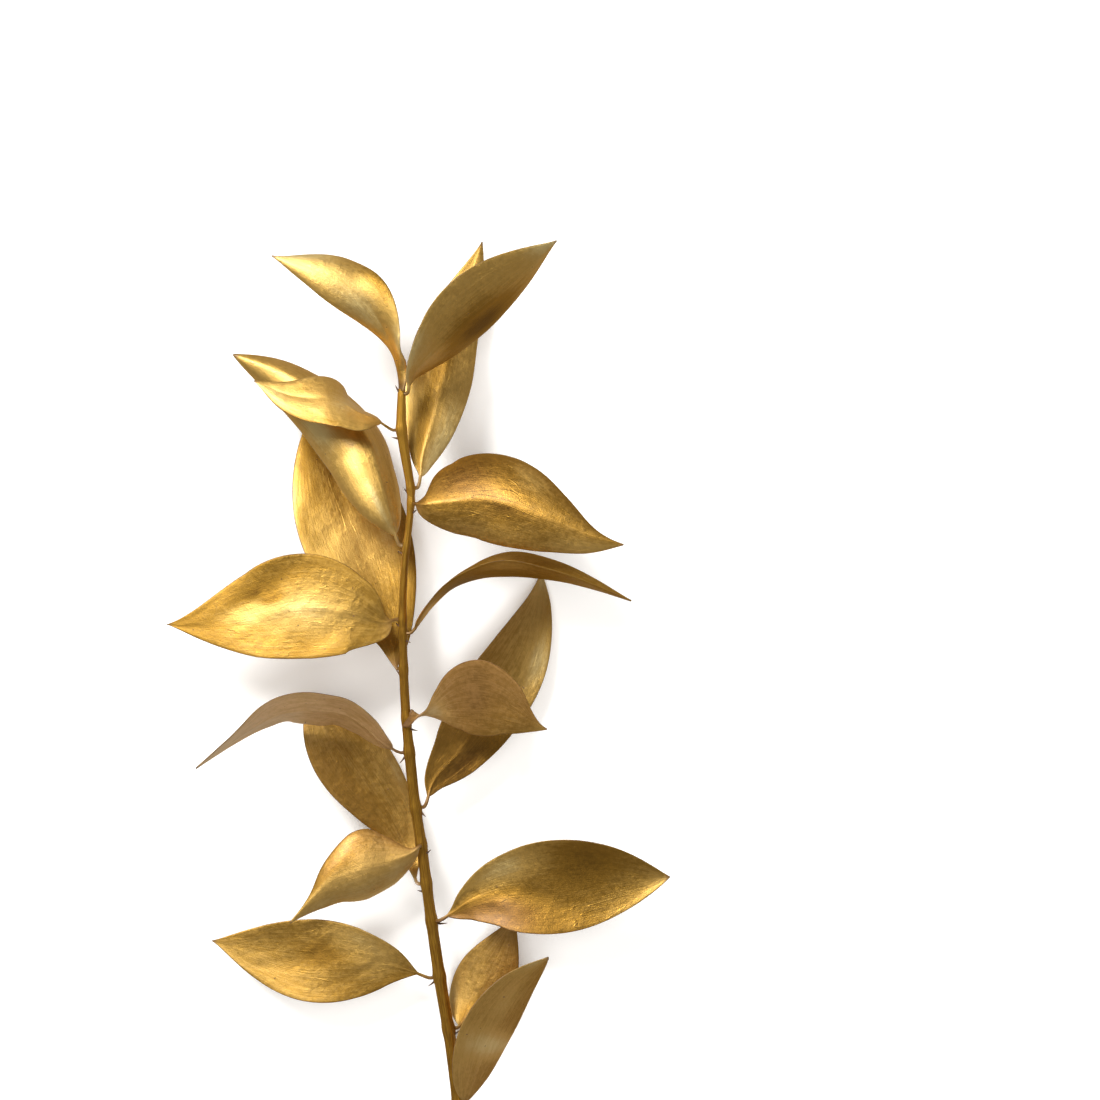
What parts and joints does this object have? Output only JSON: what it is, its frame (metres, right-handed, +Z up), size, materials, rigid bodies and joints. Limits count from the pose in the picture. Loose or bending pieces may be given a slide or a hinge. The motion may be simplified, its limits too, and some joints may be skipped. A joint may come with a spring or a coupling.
{
  "type": "dried ruscus stem",
  "caption": "Cut stem of dried ruscus sprayed gold: a ridged woody stem with stiff pointed twisted leaves on short stalks, lying on its lowest leaf tips and its cut end.",
  "frame": {"origin": "on the surface the stem lies on, under the middle of its bounding box", "axes": "+Y from the cut end towards the tip of the stem, +Z up from the surface, +X to the right seen from above with the tip ahead"},
  "size_m": [0.1762, 0.3299, 0.0523],
  "materials": {
    "stem": "satin",
    "leaf": "satin"
  },
  "bodies": {
    "root": {"stem": "stem", "leaf_01": "leaf", "leaf_02": "leaf", "leaf_03": "leaf", "leaf_04": "leaf", "leaf_05": "leaf", "leaf_06": "leaf", "leaf_07": "leaf", "leaf_08": "leaf", "leaf_09": "leaf", "leaf_10": "leaf", "leaf_11": "leaf", "leaf_12": "leaf", "leaf_13": "leaf", "leaf_14": "leaf", "leaf_15": "leaf", "leaf_16": "leaf", "leaf_17": "leaf", "leaf_18": "leaf"}
  },
  "joints": []
}
